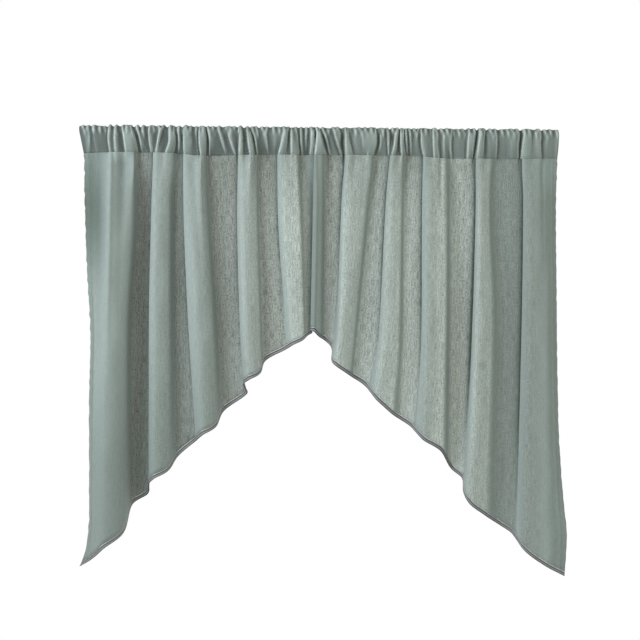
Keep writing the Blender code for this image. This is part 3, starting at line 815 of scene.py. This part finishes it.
def add_edging(name, lines):
    """The edging of one curtain, a sheet whose rows are the rows of its section."""
    lengths = stretch_lengths(lines)
    falls = np.array([row[0] for row in EDGING_SECTION])
    thickness = np.array([row[1] for row in EDGING_SECTION])
    grid = []
    for k, share in column_places(lines, EDGING_SPACING, 1.0):
        height = edging_height(lines, lengths, k, share)
        drops = hem_drop(lines, lengths, k, share) - height + falls * height / EDGING_WIDTH
        across, depth = curve_point(lines, lengths, k, share, drops)
        depth = depth + flutter(across, drops)
        grid.append(np.stack([across, depth, -drops], axis=1))
    grid = np.array(grid)
    along = distances_along(grid[:, BAND_ROW])
    flat = np.stack(np.meshgrid(along, falls, indexing="ij"), axis=2)
    return add_sheet(name, grid, thickness, flat, np.zeros(grid.shape), level=True)


edging_left = add_edging("edging_left_band", left_lines)
edging_right = add_edging("edging_right_band", right_lines)

# %% [markdown]
# ## Stitches
#
# The seam under each pocket and the turned side hems are held by rows of machine stitches. One stitch
# is a small capsule. It is shaped once from a cylinder, and its points are copied along each row, so
# that hundreds of stitches cost little.

# %% One stitch
STITCH_LENGTH = 2.4
STITCH_RADIUS = 0.28
STITCH_PITCH = 3.2
STITCH_TIP = 1.15
ON_AXIS = 1e-6
SEAM_ROW_SHARE = 0.35
LEAST_LENGTH = 1e-9

bpy.ops.object.select_all(action="DESELECT")
bpy.ops.mesh.primitive_cylinder_add(
    vertices=6, radius=STITCH_RADIUS, depth=STITCH_LENGTH, end_fill_type="TRIFAN"
)
stitch = bpy.context.active_object
stitch_points = np.array([vertex.co for vertex in stitch.data.vertices])
tips = np.hypot(stitch_points[:, 0], stitch_points[:, 1]) < ON_AXIS
stitch_points[tips, 2] *= STITCH_TIP
stitch_faces = [tuple(face.vertices) for face in stitch.data.polygons]
bpy.data.objects.remove(stitch)
print("stitch:", len(stitch_faces), "faces")

# %% [markdown]
# ## Rows of stitches
#
# Each copy is turned to follow its row. One row runs along the lower edge of each pocket, and one
# along the inner line of each outer side hem.

# %% Rows of stitches
def spaced_along(path, pitch):
    """Points and directions at even steps along a path."""
    along = distances_along(path)
    at = np.arange(pitch / 2, along[-1], pitch)
    spots = np.stack([np.interp(at, along, path[:, axis]) for axis in range(3)], axis=1)
    ahead = np.stack([np.interp(at + pitch / 2, along, path[:, axis]) for axis in range(3)], axis=1)
    ways = ahead - spots
    return spots, ways / np.maximum(np.linalg.norm(ways, axis=1, keepdims=True), LEAST_LENGTH)


def add_stitches(name, path):
    """Stitches laid end to end along a path in millimetres."""
    points, faces = [], []
    for spot, way in zip(*spaced_along(path, STITCH_PITCH)):
        turn = np.array(Vector((0, 0, 1)).rotation_difference(Vector(way)).to_matrix())
        start = len(points) * len(stitch_points)
        points.append(stitch_points @ turn.T + spot)
        faces += [tuple(start + corner for corner in face) for face in stitch_faces]
    mesh = bpy.data.meshes.new(name)
    mesh.from_pydata((np.concatenate(points) * MM).tolist(), [], faces)
    mesh.shade_smooth()
    piece = bpy.data.objects.new(name, mesh)
    bpy.context.collection.objects.link(piece)
    print(name, len(points), "stitches")
    return piece


def hem_path(grid, along, from_start):
    """The front of the cloth along the inner line of a side hem."""
    inset = SIDE_HEM - SIDE_HEM_BLEND
    wanted = inset if from_start else along[-1] - inset
    column = int(np.argmin(np.abs(along - wanted)))
    front = grid_normals(grid, False)[column] * (CLOTH + SIDE_HEM_EXTRA + STITCH_RADIUS) / 2
    return grid[column] + front


def seam_path(rings):
    """The front of the pocket a little above its lower edge."""
    return rings[:, 1] + SEAM_ROW_SHARE * (rings[:, 2] - rings[:, 1])


stitch_rows = [
    add_stitches("seam_stitches_left", seam_path(left_rings)),
    add_stitches("seam_stitches_right", seam_path(right_rings)),
    add_stitches("side_stitches_left", hem_path(left_grid, left_along, True)),
    add_stitches("side_stitches_right", hem_path(right_grid, right_along, False)),
]

# %% [markdown]
# ## The cloth's finish
#
# Linen-look sheer is woven from uneven threads: long upright slubs, a finer crosswise thread, and open
# gaps through which one sees what lies behind, dim or light. The threads are noise stretched along
# the cloth's UV map, which is measured on the flat cloth, so they keep their real size. The tone
# attribute mixes in painted light and dark in place of what shows through the sheer valleys, painted
# shade in creases, laps and flanks, and painted highlights on the pocket ridges.

# %% Cloth material
SAGE = (0.366, 0.423, 0.397, 1.0)
# Painted colours: dim and bright light coming through the sheer valleys, the bright one also the painted
# highlight on pocket ridges, and painted shade for panels, pockets and creases.
DIM_BEHIND = (0.145, 0.15, 0.13, 1.0)
LIGHT_THROUGH_AND_HIGHLIGHT = (0.665, 0.72, 0.665, 1.0)
PANEL_SHADE = (0.095, 0.121, 0.10, 1.0)
POCKET_SHADE = (0.13, 0.15, 0.14, 1.0)
CREASE_SHADE = (0.02, 0.024, 0.022, 1.0)
# Each weave pattern: cells per metre across and down, detail, and where the noise is taken.
SLUBS = (620, 55, 1.0, 3.1)
DASHES = (800, 260, 0.0, 7.7)
STREAKS = (190, 5, 2.0, 5.9)
DASHES_SHARE = 0.8
STREAKS_SHARE = 0.4
WEAVE_MEAN = 1.1
CLOSED_CONTRAST = 0.5
SHEER_CONTRAST = 2.4
LIGHTEST_THREAD = 1.3
WEAVE_BUMP = (0.25, 0.0003)


def new_material(name):
    material = bpy.data.materials.new(name)
    material.use_nodes = True
    material.node_tree.nodes.clear()
    return material


def new_node(tree, kind, settings, **choices):
    """A node whose inputs get plain values, or a link where the value is another node's output."""
    node = tree.nodes.new(kind)
    for name, choice in choices.items():
        setattr(node, name, choice)
    for name, value in settings.items():
        if isinstance(value, bpy.types.NodeSocket):
            tree.links.new(value, node.inputs[name])
        else:
            node.inputs[name].default_value = value
    return node


def cloth_places(tree):
    return new_node(tree, "ShaderNodeUVMap", {}, uv_map="cloth").outputs["UV"]


def stretched_noise(tree, across_scale, down_scale, detail, place):
    """Noise along the cloth's UV map, with its own scale across and down, in cells per metre."""
    mapping = new_node(tree, "ShaderNodeMapping", {
        "Vector": cloth_places(tree), "Scale": (across_scale, down_scale, 1.0),
        "Location": (place, place, 0.0),
    })
    settings = {"Vector": mapping.outputs["Vector"], "Scale": 1.0, "Detail": detail}
    return new_node(tree, "ShaderNodeTexNoise", settings).outputs["Fac"]


def math_node(tree, operation, *values):
    settings = dict(enumerate(values))
    return new_node(tree, "ShaderNodeMath", settings, operation=operation).outputs[0]


def mixed_colour(tree, factor, first, second):
    settings = {"Factor": factor, 6: first, 7: second}
    return new_node(tree, "ShaderNodeMix", settings, data_type="RGBA").outputs[2]


def bump_normal(tree, height, strength, distance):
    """Normals that follow a height, in metres, so that threads catch the light."""
    settings = {"Height": height, "Strength": strength, "Distance": distance}
    return new_node(tree, "ShaderNodeBump", settings).outputs["Normal"]


def add_surface(tree, settings):
    """The shader with these settings, joined to the output of the material."""
    shader = new_node(tree, "ShaderNodeBsdfPrincipled", settings)
    new_node(tree, "ShaderNodeOutputMaterial", {"Surface": shader.outputs["BSDF"]})


def cloth_material(name, painted_dark, shade_colour, thread_contrast, sheen):
    """Cloth whose colour is mixed from the sage, painted light and dark, and painted shade, thread by
    thread.
    """
    material = new_material(name)
    tree = material.node_tree
    tone = new_node(tree, "ShaderNodeAttribute", {}, attribute_name="tone").outputs["Vector"]
    # On a panel the tones are sheer, painted light through it and painted shade. On a pocket: how much
    # painted shade of creases or painted highlight, which of the two, and painted shade of the flats.
    sheer, glow, shade = new_node(tree, "ShaderNodeSeparateXYZ", {"Vector": tone}).outputs
    weave = stretched_noise(tree, *SLUBS)
    for pattern, pattern_share in ((DASHES, DASHES_SHARE), (STREAKS, STREAKS_SHARE)):
        noise = math_node(tree, "MULTIPLY", stretched_noise(tree, *pattern), pattern_share)
        weave = math_node(tree, "ADD", weave, noise)
    painted_light_or_dark = mixed_colour(tree, glow, painted_dark, LIGHT_THROUGH_AND_HIGHLIGHT)
    body = mixed_colour(tree, sheer, SAGE, painted_light_or_dark)
    body = mixed_colour(tree, shade, body, shade_colour)
    contrast = math_node(tree, "MULTIPLY_ADD", sheer, SHEER_CONTRAST, CLOSED_CONTRAST)
    contrast = math_node(tree, "MULTIPLY", contrast, thread_contrast)
    change = math_node(tree, "MULTIPLY", math_node(tree, "SUBTRACT", weave, WEAVE_MEAN), contrast)
    light = math_node(tree, "MINIMUM", math_node(tree, "ADD", change, 1.0), LIGHTEST_THREAD)
    colour = new_node(tree, "ShaderNodeVectorMath", {0: body, "Scale": light}, operation="SCALE")
    add_surface(tree, {
        "Base Color": colour.outputs["Vector"], "Normal": bump_normal(tree, weave, *WEAVE_BUMP),
        "Roughness": 0.85, "Sheen Weight": sheen, "Sheen Roughness": 0.5, "Specular IOR Level": sheen,
    })
    return material


sheer_cloth = cloth_material(
    "sheer_linen_look", DIM_BEHIND, PANEL_SHADE, thread_contrast=0.5, sheen=0.2
)
pocket_cloth = cloth_material(
    "gathered_linen_look", CREASE_SHADE, POCKET_SHADE, thread_contrast=0.4, sheen=0.04
)
print("cloth finishes:", sheer_cloth.name, "and", pocket_cloth.name)

# %% [markdown]
# ## The edging's finish and the thread
#
# The edging is overlocked with grey thread, so it is a band of short slanted loops. Two darker rows
# run along it, one below the raised stitches and one along the rolled lower edge. A wave texture
# across the band's own map gives the loops, and the map's second coordinate, the distance down the
# band, places the dark rows and, along the top, a painted highlight on the raised top of the band.

# %% Edging and thread materials
# The first colour is a painted highlight along the raised top of the band.
BAND_HIGHLIGHT = (0.50, 0.53, 0.49, 1.0)
BAND_GREY = (0.37, 0.37, 0.38, 1.0)
BAND_LOOPS = (0.20, 0.20, 0.205, 1.0)
BAND_DARK = (0.05, 0.053, 0.052, 1.0)
THREAD_GREEN = (0.27, 0.32, 0.285, 1.0)
THREAD_DARK = (0.2, 0.24, 0.21, 1.0)
THREAD_GRAIN = 900.0
# Where the rows of the band begin and end, in metres below its top.
HIGHLIGHT_ROW = (0.0012, 0.0018)
UPPER_ROW = (0.0028, 0.0036)
LOWER_ROW = (0.0062, 0.0070)
LOOP_SLANT = 0.35
LOOP_SCALE = 190.0
LOOP_DISTORTION = 1.2
LOOP_BUMP = (0.6, 0.0005)


def ranged(tree, value, low, high, to_low, to_high):
    settings = {"Value": value, "From Min": low, "From Max": high, "To Min": to_low, "To Max": to_high}
    return new_node(tree, "ShaderNodeMapRange", settings).outputs["Result"]


def edging_material():
    material = new_material("overlocked_edging")
    tree = material.node_tree
    places = cloth_places(tree)
    fall = new_node(tree, "ShaderNodeSeparateXYZ", {"Vector": places}).outputs["Y"]
    painted_highlight = ranged(tree, fall, *HIGHLIGHT_ROW, 1, 0)
    upper = ranged(tree, fall, *UPPER_ROW, 1, 0)
    lower = ranged(tree, fall, *LOWER_ROW, 0, 1)
    rows = math_node(tree, "MAXIMUM", upper, lower)
    mapping = new_node(tree, "ShaderNodeMapping", {"Vector": places, "Rotation": (0, 0, LOOP_SLANT)})
    loops = new_node(tree, "ShaderNodeTexWave", {
        "Vector": mapping.outputs["Vector"], "Scale": LOOP_SCALE, "Distortion": LOOP_DISTORTION,
    }).outputs["Fac"]
    band = mixed_colour(tree, loops, BAND_GREY, BAND_LOOPS)
    body = mixed_colour(tree, rows, band, BAND_DARK)
    body = mixed_colour(tree, painted_highlight, body, BAND_HIGHLIGHT)
    normal = bump_normal(tree, loops, *LOOP_BUMP)
    add_surface(tree, {"Base Color": body, "Normal": normal, "Roughness": 0.8, "Sheen Weight": 0.2})
    return material


def thread_material():
    material = new_material("sewing_thread")
    tree = material.node_tree
    place = new_node(tree, "ShaderNodeTexCoord", {}).outputs["Object"]
    grain = new_node(tree, "ShaderNodeTexNoise", {"Vector": place, "Scale": THREAD_GRAIN}).outputs["Fac"]
    body = mixed_colour(tree, grain, THREAD_GREEN, THREAD_DARK)
    add_surface(tree, {"Base Color": body, "Roughness": 0.6})
    return material


overlock = edging_material()
thread = thread_material()
for piece, material in (
    (panel_left, sheer_cloth), (panel_right, sheer_cloth), (pocket_left, pocket_cloth),
    (pocket_right, pocket_cloth), (edging_left, overlock), (edging_right, overlock),
):
    piece.data.materials.append(material)
for row in stitch_rows:
    row.data.materials.append(thread)
print("other finishes:", overlock.name, "and", thread.name)

# %% [markdown]
# ## Tying the pieces to the frame
#
# Every piece rides on the one body and stands for the plain solid of the same name. A panel is cut as
# a trapezoid, a pocket as a strip that is folded double, and an edging as a long ribbon.

pairs = (
    (panel_left, "panel_left", "sage_cloth"), (panel_right, "panel_right", "sage_cloth"),
    (pocket_left, "pocket_left", "sage_pocket"), (pocket_right, "pocket_right", "sage_pocket"),
    (edging_left, "edging_left", "grey_edging"), (edging_right, "edging_right", "grey_edging"),
)
for piece, node, slot in pairs:
    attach(piece, "root")
    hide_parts(node)
for row in stitch_rows:
    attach(row, "root")
print("pieces tied to the frame:", len(pairs) + len(stitch_rows))

# %% [markdown]
# ## Stage and light
#
# The background is plain and nearly white. A large cool lamp at the front left lights the leading
# side of each fold and leaves its right flank in soft shade. A faint green lamp at the right tints
# the creases, and two warmer lamps fill in from the front and the back.

# %% Floor and light
FLOOR_DROP = 1.9
FLOOR_SIZE = 3.2
PALE = (0.93, 0.93, 0.93, 1.0)
WHITE = (1.0, 1.0, 1.0, 1.0)
AMBIENT = (0.98, 1.0, 0.97, 1.0)
AMBIENT_STRENGTH = 0.47
MIDDLE = (0.0, 0.0, -0.45)

bpy.ops.object.select_all(action="DESELECT")
bpy.ops.mesh.primitive_plane_add(size=FLOOR_SIZE, location=(0, 0, -FLOOR_DROP))
floor = bpy.context.active_object
floor.name = "pale_floor"
material = new_material("pale_floor")
add_surface(material.node_tree, {"Base Color": PALE, "Roughness": 0.9})
floor.data.materials.append(material)


def add_area_light(name, place, size, power, colour):
    """A square lamp aimed at the middle of the curtains."""
    lamp = bpy.data.lights.new(name, "AREA")
    lamp.shape = "SQUARE"
    lamp.size = size
    lamp.energy = power
    lamp.color = colour
    light = bpy.data.objects.new(name, lamp)
    light.location = place
    light.rotation_euler = (Vector(MIDDLE) - Vector(place)).to_track_quat("-Z", "Y").to_euler()
    bpy.context.collection.objects.link(light)
    print(name, power, "W")


add_area_light("left_light", (-1.7, -1.35, 0.6), size=1.0, power=34.0, colour=(0.84, 0.92, 1.0))
add_area_light("fill_light", (0.6, -2.9, 0.2), size=2.2, power=11.0, colour=(1.0, 0.98, 0.94))
add_area_light("right_light", (1.7, -1.35, 0.3), size=1.0, power=3.0, colour=(0.75, 1.0, 0.8))
add_area_light("rear_light", (0.6, 2.4, 0.6), size=2.4, power=16.0, colour=(1.0, 0.98, 0.95))

# %% [markdown]
# ## Background
#
# The camera sees plain white behind the curtains, and they are lit by a softer, dimmer surround.

# %% Background
world = bpy.data.worlds.new("studio")
world.use_nodes = True
bpy.context.scene.world = world
tree = world.node_tree
tree.nodes.clear()
seen = new_node(tree, "ShaderNodeBackground", {"Color": WHITE})
ambient = new_node(tree, "ShaderNodeBackground", {"Color": AMBIENT, "Strength": AMBIENT_STRENGTH})
choice = new_node(tree, "ShaderNodeMixShader", {
    "Fac": new_node(tree, "ShaderNodeLightPath", {}).outputs["Is Camera Ray"],
    1: ambient.outputs["Background"], 2: seen.outputs["Background"],
})
new_node(tree, "ShaderNodeOutputWorld", {"Surface": choice.outputs["Shader"]})
bpy.context.scene.view_settings.view_transform = "Standard"
print("surround:", AMBIENT_STRENGTH, "as bright as the white that the camera sees")

# %% [markdown]
# ## The camera
#
# The camera stands a little above the middle of the curtains and looks slightly down.

# %% Camera
CAMERA_PLACE = Vector((0.0142, -2.4, -0.1936))
CAMERA_AIM = Vector((0.0142, 0.0, -0.3936))
FRAME_WIDTH = 1.3184
CAMERA_ROLL = 0.0096
SENSOR = 36.0

lens = bpy.data.cameras.new("camera")
lens.sensor_width = SENSOR
lens.lens = SENSOR * (CAMERA_AIM - CAMERA_PLACE).length / FRAME_WIDTH
camera = bpy.data.objects.new("camera", lens)
turn = (CAMERA_AIM - CAMERA_PLACE).to_track_quat("-Z", "Y").to_matrix().to_4x4()
camera.location = CAMERA_PLACE
camera.rotation_euler = turn.to_euler()
camera.rotation_euler.rotate_axis("Z", CAMERA_ROLL)
bpy.context.collection.objects.link(camera)
bpy.context.scene.camera = camera
print("lens", round(lens.lens, 1), "mm")
